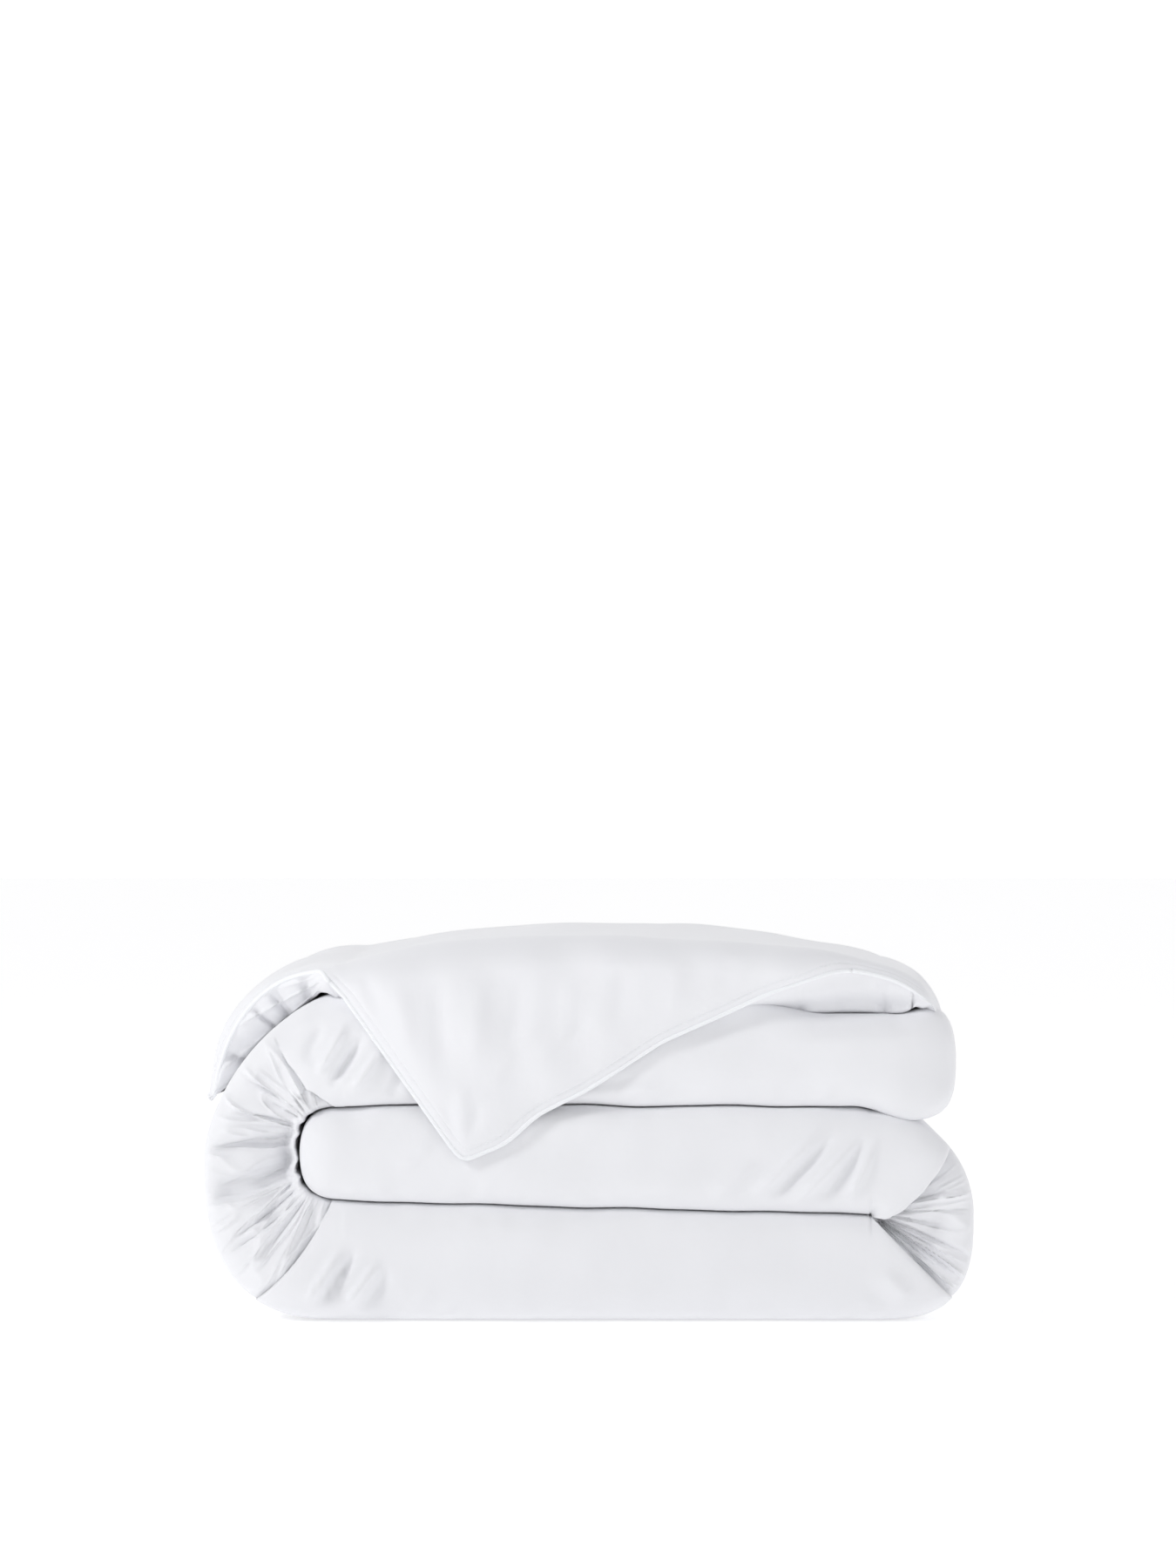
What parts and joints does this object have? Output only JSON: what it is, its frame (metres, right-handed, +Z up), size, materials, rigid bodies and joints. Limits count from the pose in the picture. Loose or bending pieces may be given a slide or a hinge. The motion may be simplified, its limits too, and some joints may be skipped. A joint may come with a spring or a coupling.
{
  "type": "duvet",
  "caption": "Plain unquilted duvet in a piped cover, folded and rolled into a flat stack of layers, with one corner turned down over the front.",
  "frame": {"origin": "middle of the flat underside that the folded duvet rests on", "axes": "+X along the front towards the right-hand end of the roll, +Y from the front to the back, +Z up"},
  "size_m": [0.6093, 0.566, 0.3053],
  "materials": {
    "cover_fabric": "smooth white cotton percale",
    "insert_fabric": "plain white downproof cotton",
    "piping": "corded white cotton piping",
    "thread": "white polyester thread",
    "button": "white shirt-type buttons",
    "label": "blank woven label"
  },
  "bodies": {
    "folded_stack": {"cover_bottom_layer": "cover_fabric", "cover_right_turn": "cover_fabric", "cover_middle_layer": "cover_fabric", "cover_left_turn": "cover_fabric", "cover_upper_layer": "cover_fabric", "cover_end_turn": "cover_fabric", "insert_bottom_layer": "insert_fabric", "insert_right_turn": "insert_fabric", "insert_middle_layer": "insert_fabric", "insert_left_turn": "insert_fabric", "insert_upper_layer": "insert_fabric", "insert_end_turn": "insert_fabric", "piping_back_seam_inner": "piping", "piping_back_seam_outer": "piping", "closure_placket": "cover_fabric", "closure_buttons": "button", "care_label": "label"},
    "top_layer": {"cover_top_layer": "cover_fabric", "insert_top_layer": "insert_fabric", "piping_top_back": "piping", "piping_top_front": "piping", "piping_overhang_front": "piping", "piping_overhang_low": "piping"},
    "corner_flap": {"cover_corner_flap": "cover_fabric", "insert_corner_flap": "insert_fabric", "piping_corner": "piping", "topstitch_corner": "thread"}
  },
  "joints": [
    {"name": "top_layer_open", "type": "hinge", "parent": "folded_stack", "child": "top_layer", "pos_m": [0.22985, 0, 0.2743], "axis": [0, 1, 0], "range_deg": [0, 100]},
    {"name": "corner_flap_lift", "type": "hinge", "parent": "top_layer", "child": "corner_flap", "pos_m": [0, -0.2813, 0.268], "axis": [-1, 0, 0], "range_deg": [0, 150]}
  ]
}
